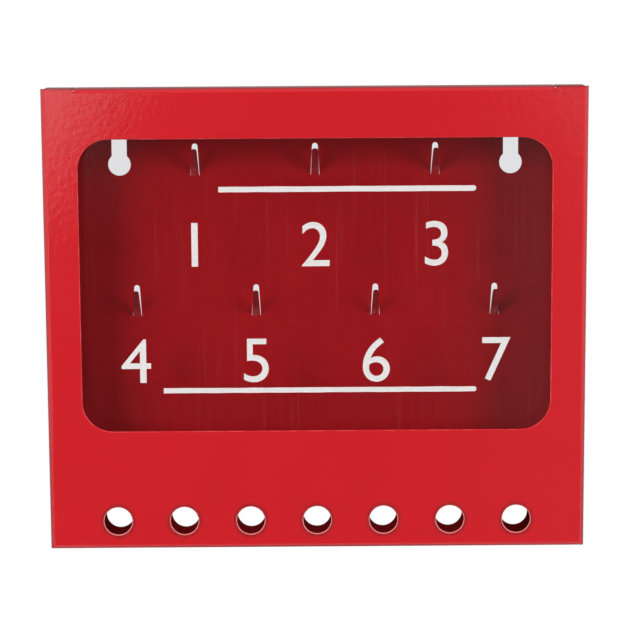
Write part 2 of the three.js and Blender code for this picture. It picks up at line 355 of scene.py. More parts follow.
def wornHolesGroup():
    # painted shade: dark rings round the holes; and a pale ring on each hole's rim, a painted highlight and
    # worn paint
    tree, given, out = newGroup(
        "holeShadeAndRimHighlight",
        [
            ("Colour", colourKind, None),
            ("Rubs", floatKind, 0.0),
            ("Shade Colour", colourKind, None),
            ("Shade Amount", floatKind, 0.7),
            ("Rim Colour", colourKind, None),
            ("Rim Highlight And Wear", floatKind, 0.8),
        ],
        "Colour", colourKind,
    )
    near = times(tree, given["Rubs"], given["Rubs"], -660, -200)
    holeShade = times(tree, near, given["Shade Amount"], -480, -100)
    colour = mixColour(tree, holeShade, given["Colour"], given["Shade Colour"], -200, 100)
    marked = addNode(tree, "ShaderNodeAttribute", -660, -400, attribute_name="edgeMark")
    # painted highlight and worn paint on each hole's rim
    rims = times(tree, near, marked.outputs["Fac"], -480, -300)
    rims = times(tree, rims, given["Rim Highlight And Wear"], -300, -300)
    feed(tree, out, mixColour(tree, rims, colour, given["Rim Colour"], 200, 0))
    return tree


paintMottle = paintMottleGroup()
patchyValue = patchyValueGroup()
orangePeel = orangePeelGroup()
dustSpecks = dustSpecksGroup()
edgeWear = edgeWearGroup()
spotRow = spotRowGroup()
hairlines = hairlineGroup()
holeShadeAndRimHighlight = wornHolesGroup()
print("shared shader groups built")


def newMaterial(name):
    material = bpy.data.materials.new(name)
    material.use_nodes = True
    tree = material.node_tree
    tree.nodes.clear()
    output = addNode(tree, "ShaderNodeOutputMaterial", 1100, 0)
    shader = addNode(tree, "ShaderNodeBsdfPrincipled", 560, 0)
    tree.links.new(shader.outputs[0], output.inputs["Surface"])
    return material, tree, shader


def surfaceOf(tree):
    return next(n for n in tree.nodes if n.type == "OUTPUT_MATERIAL").inputs["Surface"]


def bumpNode(tree, height, values, x, y):
    made = addNode(tree, "ShaderNodeBump", x, y)
    made.inputs["Strength"].default_value = values["bumpStrength"]
    made.inputs["Distance"].default_value = values["bumpReach"]
    feed(tree, made.inputs["Height"], height)
    return made.outputs["Normal"]


# Materials. The inner dictionaries hold the inputs of the shader groups, by name

topEdge, lowEdge = cadBox[1].z, cadBox[0].z
holeLeft, holeUp = -0.1143, lowEdge + 0.0164  # centre of the leftmost padlock hole
weldLeft = -0.11
panelFront = -0.0012
hookPitch = 0.06826
paintedShadeColour = (0.10, 0.012, 0.014, 1)

coverPaint = {
    "name": "coverPowderCoat",
    "colour": (0.61, 0.0150, 0.0225, 1),
    "mottle": {"Amount": 0.035, "Size": 0.045},
    "sheen": {"Low": 0.06, "High": 0.10, "Size": 0.03},
    "ior": 1.5,
    "peel": {"Wave": 0.0029},
    "bumpStrength": 0.24,
    "bumpReach": 0.00012,
    "edges": {"Amount": 0.75, "Size": 0.005},
    "edgeColour": (0.70, 0.075, 0.075, 1),
    # dust: how much its specks hide the paint, dull it and stand up from it
    "dust": {"Spacing": 0.0075, "Share": 0.035, "Radius": 0.075},
    "dustColour": (0.72, 0.30, 0.29, 1),
    "dustCover": 0.55,
    "dustDull": 0.35,
    "dustHeight": 0.7,
    # spot welds that hold the hinge leaf under the top
    "welds": {
        "Place": (weldLeft, -0.0100, topEdge), "Pitch": 0.044, "Count": 6,
        "Inner": 0.0016, "Outer": 0.0036,
    },
    "weldDepth": 2.2,
    # shackles rub the paint pale and dull round the padlock holes
    "rubAndShadeRings": {
        "Place": (holeLeft, cadBox[0].y, holeUp), "Pitch": 0.0381, "Count": 7,
        "Inner": 0.0079, "Outer": 0.0125,
    },
    "rubAmount": 0.55,
    "scuffs": {"Low": 0.0, "High": 1.0, "Size": 0.0035},
    "rubPale": 0.22,
    "rubDull": 0.28,
    # painted shade: dark rings round the holes, and a pale ring on each rim, a painted highlight and worn
    # paint
    "holes": {
        "Shade Colour": paintedShadeColour, "Shade Amount": 0.7,
        "Rim Colour": (0.85, 0.26, 0.25, 1), "Rim Highlight And Wear": 0.82,
    },
    # painted shade: the outer half of the folds round the front is darkened
    "paintedFoldShade": 0.6,
    "foldReach": (0.0004, 0.0021),
    "foldDepth": (0.0030, 0.0044),
    "topSpared": 0.0006,
    "paintedTongueShade": 0.0,
}

panelPaint = dict(
    coverPaint,
    name="panelPowderCoat",
    # painted light: this red is brighter than the cover's, which lightens the inside of the box
    colour=(0.67, 0.0115, 0.0190, 1),
    dust=dict(coverPaint["dust"], Share=0.05),
    dustColour=(0.62, 0.20, 0.19, 1),
    welds=dict(coverPaint["welds"], Place=(weldLeft, panelFront / 2, topEdge - 0.012)),
    rubAndShadeRings=dict(coverPaint["rubAndShadeRings"], Place=(holeLeft, panelFront / 2, holeUp), Inner=0.0110, Outer=0.0152),
    holes={**coverPaint["holes"], "Shade Amount": 0.68, "Rim Highlight And Wear": 0.0},
    paintedFoldShade=0.0,
    # painted shade: the hooks' tongues, which tilt down and away from the light, are darkened, and their
    # paint is made rougher
    paintedTongueShade=0.40,
    tongueAhead=(0.0010, 0.0030),
    tongueAcross=(0.112, 0.120),
)

hingePaint = dict(
    coverPaint,
    name="hingePowderCoat",
    peel={"Wave": 0.0022},
    edges=dict(coverPaint["edges"], Amount=1.0),
    welds=dict(coverPaint["welds"], Place=(weldLeft, -0.0100, topEdge - 0.002)),
    rubAmount=0.0,
    paintedFoldShade=0.0,
)


def foldMask(tree, values):
    # painted shade mask: 1 near the sides, top and bottom of the box, on the folds next to its front
    across, deep, up = splitPlace(tree, objectPlace(tree, -1900, 900), -1740, 900)
    side = mathNode(tree, "ABSOLUTE", across, None, -1580, 1040)
    side = minus(tree, cadBox[1].x, side, -1420, 1040)
    above = minus(tree, topEdge + values["topSpared"], up, -1580, 880)
    below = minus(tree, up, lowEdge, -1580, 720)
    nearest = least(tree, side, least(tree, above, below, -1420, 800), -1260, 900)
    outer = fadeNode(tree, nearest, *values["foldReach"], -1100, 900, 1.0, 0.0)
    depth = minus(tree, deep, cadBox[0].y, -1420, 600)
    ahead = fadeNode(tree, depth, *values["foldDepth"], -1260, 600, 1.0, 0.0)
    return times(tree, times(tree, outer, ahead, -940, 760), values["paintedFoldShade"], -780, 760)


def tongueMask(tree, values):
    # painted shade mask: 1 on what stands forward of the panel's front, away from its sides
    across, deep = splitPlace(tree, objectPlace(tree, -1900, 400), -1740, 400)[:2]
    ahead = minus(tree, panelFront, deep, -1580, 400)
    ahead = fadeNode(tree, ahead, *values["tongueAhead"], -1420, 400)
    side = mathNode(tree, "ABSOLUTE", across, None, -1580, 240)
    inside = fadeNode(tree, side, *values["tongueAcross"], -1420, 240, 1.0, 0.0)
    return times(tree, times(tree, ahead, inside, -1260, 320), values["paintedTongueShade"], -1100, 320)


def powderCoat(values):
    material, tree, shader = newMaterial(values["name"])
    colour = useGroup(tree, paintMottle, -900, 300, Colour=values["colour"], **values["mottle"])
    edges = useGroup(tree, edgeWear, -900, 60, **values["edges"])
    specks = useGroup(tree, dustSpecks, -900, -180, **values["dust"])
    welds = useGroup(tree, spotRow, -900, -500, **values["welds"])
    rubAndShadeRings = useGroup(tree, spotRow, -900, -760, **values["rubAndShadeRings"])
    scuffs = useGroup(tree, patchyValue, -900, -1000, **values["scuffs"])
    rubbed = times(tree, times(tree, rubAndShadeRings, scuffs, -660, -800), values["rubAmount"], -480, -800)

    sheen = useGroup(tree, patchyValue, -600, -300, **values["sheen"])
    sheen = plus(tree, sheen, times(tree, rubbed, values["rubDull"], -240, -240), -60, -200)
    sheen = plus(tree, sheen, times(tree, specks, values["dustDull"], -60, -360), 120, -240, clamp=True)

    colour = mixColour(tree, edges, colour, values["edgeColour"], -600, 300)
    # painted shade round the holes and a painted highlight on their rims
    colour = useGroup(tree, holeShadeAndRimHighlight, -500, 520, Colour=colour, Rubs=rubAndShadeRings, **values["holes"])
    # painted shade darkens the folds round the front
    if values["paintedFoldShade"]:
        colour = mixColour(tree, foldMask(tree, values), colour, paintedShadeColour, -300, 480)
    # painted shade on the hooks' tongues, and rougher paint there
    if values["paintedTongueShade"]:
        tongues = tongueMask(tree, values)
        colour = mixColour(tree, tongues, colour, paintedShadeColour, -300, 640)
        sheen = plus(tree, sheen, tongues, 300, -240, clamp=True)
    pale = times(tree, rubbed, values["rubPale"], -420, 60)
    colour = mixColour(tree, pale, colour, values["edgeColour"], -400, 300)
    dusty = times(tree, specks, values["dustCover"], -240, 60)
    colour = mixColour(tree, dusty, colour, values["dustColour"], -200, 300)
    feed(tree, shader.inputs["Base Color"], colour)
    feed(tree, shader.inputs["Roughness"], sheen)

    height = useGroup(tree, orangePeel, -300, -560, **values["peel"])
    height = minus(tree, height, times(tree, welds, values["weldDepth"], -300, -760), -60, -600)
    height = plus(tree, height, times(tree, specks, values["dustHeight"], -60, -820), 120, -600)
    feed(tree, shader.inputs["Normal"], bumpNode(tree, height, values, 320, -500))
    shader.inputs["IOR"].default_value = values["ior"]
    return material


clearSheetValues = {
    "name": "clearSheet",
    "colour": (0.82, 0.815, 0.83, 1),
    "lampShare": (0.80, 0.79, 0.80, 1),
    "sheen": {"Low": 0.004, "High": 0.02, "Size": 0.04},
    "ior": 1.49,
    "smears": {"Low": 0.0, "High": 1.0, "Size": 0.05},
    "smearColour": (0.70, 0.69, 0.72, 1),
    "smearShare": 0.2,
    # streaks, scratches and specks, and how pale and rough they make the sheet
    "streaks": {"Width": 0.0016, "Length": 0.11, "Threshold": 0.6},
    "scratches": {"Width": 0.0005, "Length": 0.02, "Threshold": 0.72},
    "specks": {"Spacing": 0.0105, "Share": 0.09, "Radius": 0.05},
    "streakShare": 0.35,
    "scratchShare": 0.5,
    "markColour": (0.93, 0.93, 0.93, 1),
    "markPale": 0.5,
    "markRough": 0.12,
    # dust that lies in them, too thin to hide the panel
    "dustColour": (0.80, 0.78, 0.77, 1),
    "streakDust": 0.012,
    "scratchDust": 0.03,
    "speckDust": 0.12,
}


def clearSheet(values):
    material, tree, shader = newMaterial(values["name"])
    streaks = useGroup(tree, hairlines, -900, 300, **values["streaks"])
    scratches = useGroup(tree, hairlines, -900, 40, **values["scratches"])
    specks = useGroup(tree, dustSpecks, -900, -220, **values["specks"])
    smears = useGroup(tree, patchyValue, -900, -460, **values["smears"])
    marks = most(tree, times(tree, streaks, values["streakShare"], -640, 300), specks, -460, 200)
    marks = most(tree, marks, times(tree, scratches, values["scratchShare"], -460, 20), -280, 140)
    smeared = times(tree, smears, values["smearShare"], -460, -300)
    colour = mixColour(tree, smeared, values["colour"], values["smearColour"], -280, 320)
    pale = times(tree, marks, values["markPale"], -100, 100)
    feed(tree, shader.inputs["Base Color"], mixColour(tree, pale, colour, values["markColour"], 60, 300))
    sheen = useGroup(tree, patchyValue, -280, -200, **values["sheen"])
    rough = times(tree, marks, values["markRough"], 60, -80)
    feed(tree, shader.inputs["Roughness"], plus(tree, sheen, rough, 240, -60))
    shader.inputs["IOR"].default_value = values["ior"]
    shader.inputs["Metallic"].default_value = 0
    shader.inputs["Transmission Weight"].default_value = 1
    dusty = times(tree, streaks, values["streakDust"], -280, 520)
    dusty = most(tree, dusty, times(tree, scratches, values["scratchDust"], -280, 680), -100, 560)
    dusty = most(tree, dusty, times(tree, specks, values["speckDust"], -280, 840), 80, 560)
    dust = addNode(tree, "ShaderNodeBsdfDiffuse", 560, 620)
    dust.inputs[0].default_value = values["dustColour"]
    sheet = mixShaders(tree, dusty, shader.outputs[0], dust.outputs[0], 760, 420)
    # lamps reach what is behind the sheet through the plain transparent side
    clearSide = addNode(tree, "ShaderNodeBsdfTransparent", 560, -420)
    clearSide.inputs[0].default_value = values["lampShare"]
    path = addNode(tree, "ShaderNodeLightPath", 560, 380)
    sheet = mixShaders(tree, path.outputs["Is Shadow Ray"], sheet, clearSide.outputs[0], 920, 120)
    feed(tree, surfaceOf(tree), sheet)
    return material


printInkValues = {
    "name": "whitePrint",
    "colour": (0.80, 0.775, 0.765, 1),
    "mottle": {"Amount": 0.03, "Size": 0.012},
    "thin": {"Low": 0.0, "High": 0.5, "Size": 0.0018},
    "thinColour": (0.66, 0.60, 0.60, 1),
    "pits": {"Spacing": 0.0035, "Share": 0.12, "Radius": 0.12},
    "pitColour": (0.5, 0.36, 0.36, 1),
    "pitShare": 0.4,
    "sheen": {"Low": 0.34, "High": 0.52, "Size": 0.006},
    "grain": {"Wave": 0.0008},
    "bumpStrength": 0.25,
    "bumpReach": 0.00002,
}


def printInk(values):
    material, tree, shader = newMaterial(values["name"])
    colour = useGroup(tree, paintMottle, -600, 300, Colour=values["colour"], **values["mottle"])
    thin = useGroup(tree, patchyValue, -600, 60, **values["thin"])
    pits = useGroup(tree, dustSpecks, -600, -160, **values["pits"])
    colour = mixColour(tree, thin, colour, values["thinColour"], -200, 300)
    pitted = times(tree, pits, values["pitShare"], -200, 0)
    feed(tree, shader.inputs["Base Color"], mixColour(tree, pitted, colour, values["pitColour"], 60, 300))
    feed(tree, shader.inputs["Roughness"], useGroup(tree, patchyValue, -200, -200, **values["sheen"]))
    grain = useGroup(tree, orangePeel, -200, -420, **values["grain"])
    feed(tree, shader.inputs["Normal"], bumpNode(tree, grain, values, 240, -400))
    return material


zincValues = {
    "name": "zincPlate",
    "colour": (0.60, 0.61, 0.63, 1),
    "mottle": {"Amount": 0.16, "Size": 0.002},
    "stains": {"Low": 0.0, "High": 0.7, "Size": 0.0012},
    "stainColour": (0.42, 0.41, 0.39, 1),
    "edges": {"Amount": 0.8, "Size": 0.0008},
    "edgeColour": (0.7, 0.7, 0.71, 1),
    "sheen": {"Low": 0.24, "High": 0.42, "Size": 0.0016},
    "brushed": {"Width": 0.0004, "Length": 0.004, "Threshold": 0.45},
    "bumpStrength": 0.2,
    "bumpReach": 0.00003,
}

springValues = dict(
    zincValues,
    name="springSteel",
    colour=(0.17, 0.175, 0.19, 1),
    stainColour=(0.10, 0.085, 0.075, 1),
    sheen={"Low": 0.28, "High": 0.48, "Size": 0.0016},
)


def plainMetal(values):
    material, tree, shader = newMaterial(values["name"])
    colour = useGroup(tree, paintMottle, -600, 300, Colour=values["colour"], **values["mottle"])
    stains = useGroup(tree, patchyValue, -600, 60, **values["stains"])
    edges = useGroup(tree, edgeWear, -600, -160, **values["edges"])
    colour = mixColour(tree, stains, colour, values["stainColour"], -200, 300)
    feed(tree, shader.inputs["Base Color"], mixColour(tree, edges, colour, values["edgeColour"], 60, 300))
    shader.inputs["Metallic"].default_value = 1
    feed(tree, shader.inputs["Roughness"], useGroup(tree, patchyValue, -200, -60, **values["sheen"]))
    brushed = useGroup(tree, hairlines, -200, -300, **values["brushed"])
    feed(tree, shader.inputs["Normal"], bumpNode(tree, brushed, values, 240, -300))
    return material


coverRed = powderCoat(coverPaint)
panelRed = powderCoat(panelPaint)
hingeRed = powderCoat(hingePaint)
clearPlastic = clearSheet(clearSheetValues)
inkWhite = printInk(printInkValues)
zinc = plainMetal(zincValues)
springSteel = plainMetal(springValues)
print("materials built")


# The folded sheets: the CAD's own shape, with its flat faces made whole again and its edges rounded

sheetValues = {
    "mergeWithin": 0.000002,
    "flatWithin": 0.00001,
    "tinyEdge": 0.0000005,
    "flatDegrees": 0.4,
    "rimDegrees": 60,
    "edgeDegrees": 40,
}


def bareMesh(nodeName, pieceName):
    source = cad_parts[nodeName]
    mesh = bpy.data.meshes.new(pieceName)
    place = source.matrix_world
    points = [place @ v.co for v in source.data.vertices]
    mesh.from_pydata(points, [], [list(p.vertices) for p in source.data.polygons])
    return mesh


def evenNormals(piece):
    normals = piece.modifiers.new("flatFacesFirst", "WEIGHTED_NORMAL")
    normals.keep_sharp = True


def finishPiece(mesh, material, body, nodeName, weighted=True):
    piece = bpy.data.objects.new(mesh.name, mesh)
    scene.collection.objects.link(piece)
    mesh.materials.clear()
    mesh.materials.append(material)
    if weighted:
        evenNormals(piece)
    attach(piece, body)
    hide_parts(nodeName)
    return piece


def sharpEdges(work, sharpDegrees):
    limit = math.radians(sharpDegrees)
    return [e for e in work.edges if len(e.link_faces) == 2 and e.calc_face_angle(0) > limit]


def roundOver(work, edges, width, segments, mark, slide):
    made = bmesh.ops.bevel(
        work, geom=edges, offset=width, offset_type="OFFSET", segments=segments, profile=0.5,
        affect="EDGES", clamp_overlap=False, loop_slide=slide,
    )
    for face in made["faces"]:
        for loop in face.loops:
            loop[mark] = 1.0


def isRim(corner, inset):
    # well inside the front's outline
    low, high = cadBox
    return low[0] + inset < corner.co.x < high[0] - inset and low[2] + inset < corner.co.z < high[2] - inset


def roundRims(work, values, mark):
    # a punch draws the sheet in round the window and the holes of the front
    front = min(v.co.y for v in work.verts) + sheetValues["flatWithin"]
    onFront = {f for f in work.faces if all(v.co.y < front for v in f.verts)}
    rims = [e for e in sharpEdges(work, sheetValues["rimDegrees"]) if onFront.intersection(e.link_faces)]
    rims = [e for e in rims if all(isRim(v, values["rimInset"]) for v in e.verts)]
    roundOver(work, rims, values["rimRadius"], values["rimSteps"], mark, slide=False)


def roundEdges(work, values):
    mark = work.loops.layers.float.new("edgeMark")
    if values.get("rimRadius"):
        roundRims(work, values, mark)
    # a corner with too little room for the rounding keeps its sharp edges
    sharp = sharpEdges(work, sheetValues["edgeDegrees"])
    isSharp = set(sharp)

    def crowded(corner):
        around = sum(1 for e in corner.link_edges if e in isSharp)
        tight = min(e.calc_length() for e in corner.link_edges) < values["cornerRoom"]
        return tight or around > 3 or around == 1

    sharp = [e for e in sharp if not any(crowded(v) for v in e.verts)]
    roundOver(work, sharp, values["edgeRadius"], values["edgeSteps"], mark, slide=True)
    bmesh.ops.dissolve_degenerate(work, dist=sheetValues["tinyEdge"], edges=work.edges[:])
    for face in work.faces:
        face.smooth = True


def keepInside(work, low, high):
    for corner in work.verts:
        corner.co = [min(max(c, a), b) for c, a, b in zip(corner.co, low, high)]


tongueValues = {
    "places": [i * hookPitch / 2 for i in range(-3, 4)],
    "reach": 0.0035,
    "startAhead": 0.0001,  # nothing nearer to the panel's front is moved
    "tipAhead": 0.0084,
    "rootShift": 0.00014,
    "tipShift": 0.00036,
}


def settleTongues(work, values):
    # the press leaves each hook's tongue a hair nearer to the outer side of its slot
    for corner in work.verts:
        ahead = panelFront - corner.co.y
        middle = min(values["places"], key=lambda x: abs(x - corner.co.x))
        across = corner.co.x - middle
        if ahead < values["startAhead"] or abs(across) > values["reach"]:
            continue
        lean = min(ahead / values["tipAhead"], 1)
        shift = values["rootShift"] + (values["tipShift"] - values["rootShift"]) * lean
        if middle == 0:
            corner.co.x += math.copysign(shift, across)
        elif across * middle > 0:
            corner.co.x += math.copysign(shift, middle)


def foldedPiece(values):
    mesh = bareMesh(values["node"], values["name"])
    work = bmesh.new()
    work.from_mesh(mesh)
    bmesh.ops.remove_doubles(work, verts=work.verts[:], dist=sheetValues["mergeWithin"])
    bmesh.ops.dissolve_limit(
        work, angle_limit=math.radians(sheetValues["flatDegrees"]), use_dissolve_boundaries=False,
        verts=work.verts[:], edges=work.edges[:],
    )
    if values.get("tongues"):
        settleTongues(work, values["tongues"])
    roundEdges(work, values)
    keepInside(work, *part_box(values["node"]))
    bmesh.ops.recalc_face_normals(work, faces=work.faces[:])
    work.to_mesh(mesh)
    work.free()
    finishPiece(mesh, values["material"], values["body"], values["node"])


folded = [
    {
        "name": "coverSheet", "node": "front_cover", "body": "cover", "slot": "powder_coat",
        "material": coverRed, "edgeRadius": 0.0002, "edgeSteps": 2, "cornerRoom": 0.0006,
        "rimRadius": 0.00048, "rimSteps": 3, "rimInset": 0.006,
    },
    {
        "name": "panelSheet", "node": "back_panel", "body": "back", "slot": "powder_coat",
        "material": panelRed, "edgeRadius": 0.00016, "edgeSteps": 2, "cornerRoom": 0,
        "tongues": tongueValues,
    },
    {
        "name": "clearPane", "node": "window_pane", "body": "cover", "slot": "clear_sheet",
        "material": clearPlastic, "edgeRadius": 0.0001, "edgeSteps": 2, "cornerRoom": 0.0002,
    },
    {
        "name": "hingeLeafFixed", "node": "fixed_hinge_leaf", "body": "back", "slot": "powder_coat",
        "material": hingeRed, "edgeRadius": 0.0001, "edgeSteps": 1, "cornerRoom": 0.0002,
    },
    {
        "name": "hingeLeafMoving", "node": "moving_hinge_leaf", "body": "cover", "slot": "powder_coat",
        "material": hingeRed, "edgeRadius": 0.0001, "edgeSteps": 1, "cornerRoom": 0.0002,
    },
]

for values in folded:
    foldedPiece(values)
print("folded sheets, pane and hinge leaves made")


# Turned pieces: a profile of (distance along the axis, radius), spun round the axis


def meshFrom(work, name, smooth=True):
    mesh = bpy.data.meshes.new(name)
    for face in work.faces:
        face.smooth = smooth
    work.to_mesh(mesh)
    work.free()
    return mesh


def spin(work, profile, steps, place):
    rings = []
    for along, radius in profile:
        if radius <= 0:
            rings.append([work.verts.new(place(along, 0, 0))])
            continue
        ring = []
        for i in range(steps):
            turn = 2 * math.pi * i / steps
            ring.append(work.verts.new(place(along, radius * math.cos(turn), radius * math.sin(turn))))
        rings.append(ring)
    for low, high in zip(rings, rings[1:]):
        for i in range(steps):
            j = (i + 1) % steps
            corners = [low[i % len(low)], low[j % len(low)], high[j % len(high)], high[i % len(high)]]
            unique = list(dict.fromkeys(corners))
            if len(unique) > 2:
                work.faces.new(unique)
    bmesh.ops.recalc_face_normals(work, faces=work.faces[:])


def roundedProfile(corners, radius, steps):
    # each inner corner of the profile is turned into a short arc
    sideShare = 0.45
    out = [corners[0]]
    for before, here, after in zip(corners, corners[1:], corners[2:]):
        p, a, b = Vector(here), Vector(before), Vector(after)
        reach = min(radius, (a - p).length * sideShare, (b - p).length * sideShare)
        first, last = p + (a - p).normalized() * reach, p + (b - p).normalized() * reach
        for i in range(steps + 1):
            t = i / steps
            out.append(tuple(first * (1 - t) ** 2 + p * 2 * t * (1 - t) + last * t ** 2))
    return out + [corners[-1]]


weldStudValues = {
    "flangeHeight": 0.0008,
    "shankRadius": 0.0015,
    "tipRound": 0.0004,
    "edgeRound": 0.00018,
    "edgeSteps": 3,
    # fine rings rolled on the shank give the nut's teeth a hold
    "grooves": 7,
    "grooveDepth": 0.00009,
    "grooveHalf": 0.00016,
    "fromFlange": 0.0012,
    "fromTip": 0.0009,
    "steps": 28,
}


def weldStud(index, values):
    low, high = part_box(f"window_stud_{index}")
    centreX, centreZ = (low.x + high.x) / 2, (low.z + high.z) / 2
    flange = (high.x - low.x) / 2
    length = high.y - low.y
    foot, shank, tip = values["flangeHeight"], values["shankRadius"], values["tipRound"]
    first, last = foot + values["fromFlange"], length - values["fromTip"]
    corners = [(0.0, 0.0), (0.0, flange), (foot, flange), (foot, shank)]
    for i in range(values["grooves"]):
        middle = first + (last - first) * i / (values["grooves"] - 1)
        half = values["grooveHalf"]
        corners += [(middle - half, shank), (middle, shank - values["grooveDepth"]), (middle + half, shank)]
    corners += [(length - tip, shank), (length, shank - tip), (length, 0.0)]
    work = bmesh.new()
    spin(
        work, roundedProfile(corners, values["edgeRound"], values["edgeSteps"]), values["steps"],
        lambda along, across, up: (centreX + across, low.y + along, centreZ + up),
    )
    mesh = meshFrom(work, f"weldStud_{index}")
    finishPiece(mesh, zinc, "cover", f"window_stud_{index}")


pushNutValues = {
    "teeth": 6,
    "stepsPerTooth": 8,
    "slotSteps": 1,
    "slotRings": 3,
    "plate": 0.0004,
    "topPlates": 0.7,  # plate thicknesses from the top to the teeth's tips
    # teeth: lengths along them, and shares of their rise
    "bore": 0.00166,
    "tipLength": 0.0005,
    "tipShare": 0.78,
    "footLength": 0.0004,
    "footShare": 0.2,
    "rootRadius": 0.0031,
    "rootRise": 0.00004,
    # rim: distances in from its edge, and how far it is turned up
    "rimInset": 0.0001,
    "rimStart": 0.0006,
    "rimBend": 0.00015,
    "bendShare": 0.35,
    "rimTurnUp": 0.00025,
    "edgeRound": 0.00006,
    "edgeDegrees": 50,
}


def pushNut(index, values):
    low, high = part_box(f"push_nut_{index}")
    centreX, centreZ = (low.x + high.x) / 2, (low.z + high.z) / 2
    outer = (high.x - low.x) / 2 - values["rimInset"]
    half = values["plate"] / 2
    base, top = low.y + half, high.y - values["plate"] * values["topPlates"]
    rise = top - base
    # radius and height of each ring, from the teeth's tips out to the rim
    rings = [
        (values["bore"], top),
        (values["bore"] + values["tipLength"], base + rise * values["tipShare"]),
        (values["rootRadius"] - values["footLength"], base + rise * values["footShare"]),
        (values["rootRadius"], base + values["rootRise"]),
        (outer - values["rimStart"], base),
        (outer - values["rimBend"], base + values["rimTurnUp"] * values["bendShare"]),
        (outer - half, base + values["rimTurnUp"]),
    ]
    steps = values["teeth"] * values["stepsPerTooth"]
    turns = [2 * math.pi / steps * i + index for i in range(steps)]
    work = bmesh.new()
    grid = [
        [work.verts.new((centreX + r * math.cos(t), height, centreZ + r * math.sin(t))) for t in turns]
        for r, height in rings
    ]
    for ring, (inner, outside) in enumerate(zip(grid, grid[1:])):
        for i in range(steps):
            inSlot = ring < values["slotRings"] and i % values["stepsPerTooth"] < values["slotSteps"]
            if not inSlot:
                j = (i + 1) % steps
                work.faces.new((inner[i], inner[j], outside[j], outside[i]))
    bmesh.ops.delete(work, geom=[v for v in work.verts if not v.link_faces], context="VERTS")
    bmesh.ops.recalc_face_normals(work, faces=work.faces[:])
    mesh = meshFrom(work, f"pushNut_{index}")
    piece = finishPiece(mesh, springSteel, "cover", f"push_nut_{index}", weighted=False)
    body = piece.modifiers.new("plateThickness", "SOLIDIFY")
    body.thickness = values["plate"]
    body.offset = 0
    edge = piece.modifiers.new("shearedEdge", "BEVEL")
    edge.width = values["edgeRound"]
    edge.segments = 2
    edge.limit_method = "ANGLE"
    edge.angle_limit = math.radians(values["edgeDegrees"])
    evenNormals(piece)


for index in range(1, 11):
    weldStud(index, weldStudValues)
    pushNut(index, pushNutValues)
print("studs and push-on nuts made")


hingePinValues = {"endRound": 0.0005, "endShare": 0.72, "endSteps": 4, "steps": 32}


def hingePin(values):
    low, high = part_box("hinge_pin")
    centreY, centreZ = (low.y + high.y) / 2, (low.z + high.z) / 2
    length = high.x - low.x
    radius = (high.z - low.z) / 2
    end = radius * values["endShare"]
    corners = [(0.0, 0.0), (0.0, end), (values["endRound"], radius)]
    corners += [(length - values["endRound"], radius), (length, end), (length, 0.0)]
    work = bmesh.new()
    spin(
        work, roundedProfile(corners, values["endRound"], values["endSteps"]), values["steps"],
        lambda along, across, up: (low.x + along, centreY + across, centreZ + up),
    )
    finishPiece(meshFrom(work, "hingePin"), zinc, "back", "hinge_pin")


hingePin(hingePinValues)
print("hinge pin made")


# White print on the front of the pane: two rules, and a plain number for each hook

printValues = {
    "inkThickness": 0.00004,
    "inkGap": 0.000004,  # between the print's rear and the pane
    "rules": [
        {"name": "printRuleTop", "left": -0.0545, "right": 0.0905, "up": 0.0549, "height": 0.0031},
        {"name": "printRuleLow", "left": -0.0870, "right": 0.0912, "up": -0.0600, "height": 0.0029},
    ],
    "ruleSteps": 90,
    "capSteps": 12,
    # rate and start in the noise that sways each rule's upper and lower edge
    "edgeWander": 0.00016,
    "wanderPlaces": ((90, 1.7), (80, 8.3)),
    "wanderRise": 50,
    "numberHeight": 0.0265,
    "digitShare": 0.729,  # height of a digit in letters of size 1
    "curveSteps": 10,
    "rows": [{"first": 1, "count": 3, "up": 0.0237}, {"first": 4, "count": 4, "up": -0.0428}],
}

# the print stands on the pane's front, at heights from the pane's middle
paneLow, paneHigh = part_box("window_pane")
paneMiddle = (paneLow.z + paneHigh.z) / 2
inkFront = paneLow.y - printValues["inkThickness"]
inkRear = paneLow.y - printValues["inkGap"]


def inkPiece(mesh):
    piece = bpy.data.objects.new(mesh.name, mesh)
    scene.collection.objects.link(piece)
    mesh.materials.clear()
    mesh.materials.append(inkWhite)
    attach(piece, "cover")


def printRule(rule, values):
    # a bar with a round right end, and edges that wander as a screen leaves them
    half = rule["height"] / 2
    middle = paneMiddle + rule["up"]
    right = rule["right"] - half
    edges = []
    for side, (rate, start) in zip((half, -half), values["wanderPlaces"]):
        edge = []
        for i in range(values["ruleSteps"] + 1):
            x = rule["left"] + (right - rule["left"]) * i / values["ruleSteps"]
            sway = noise.noise((x * rate, start, middle * values["wanderRise"]))
            edge.append((x, middle + side + values["edgeWander"] * sway))
        edges.append(edge)
    cap = []
    for i in range(1, values["capSteps"]):
        turn = math.pi / 2 - math.pi * i / values["capSteps"]
        cap.append((right + half * math.cos(turn), middle + half * math.sin(turn)))
    outline = edges[0] + cap + edges[1][::-1]
    work = bmesh.new()
    front = [work.verts.new((x, inkFront, z)) for x, z in outline]
    rear = [work.verts.new((x, inkRear, z)) for x, z in outline]
    work.faces.new(front)
    work.faces.new(rear[::-1])
    for i in range(len(outline)):
        j = (i + 1) % len(outline)
        work.faces.new((front[i], rear[i], rear[j], front[j]))
    bmesh.ops.recalc_face_normals(work, faces=work.faces[:])
    inkPiece(meshFrom(work, rule["name"], smooth=False))


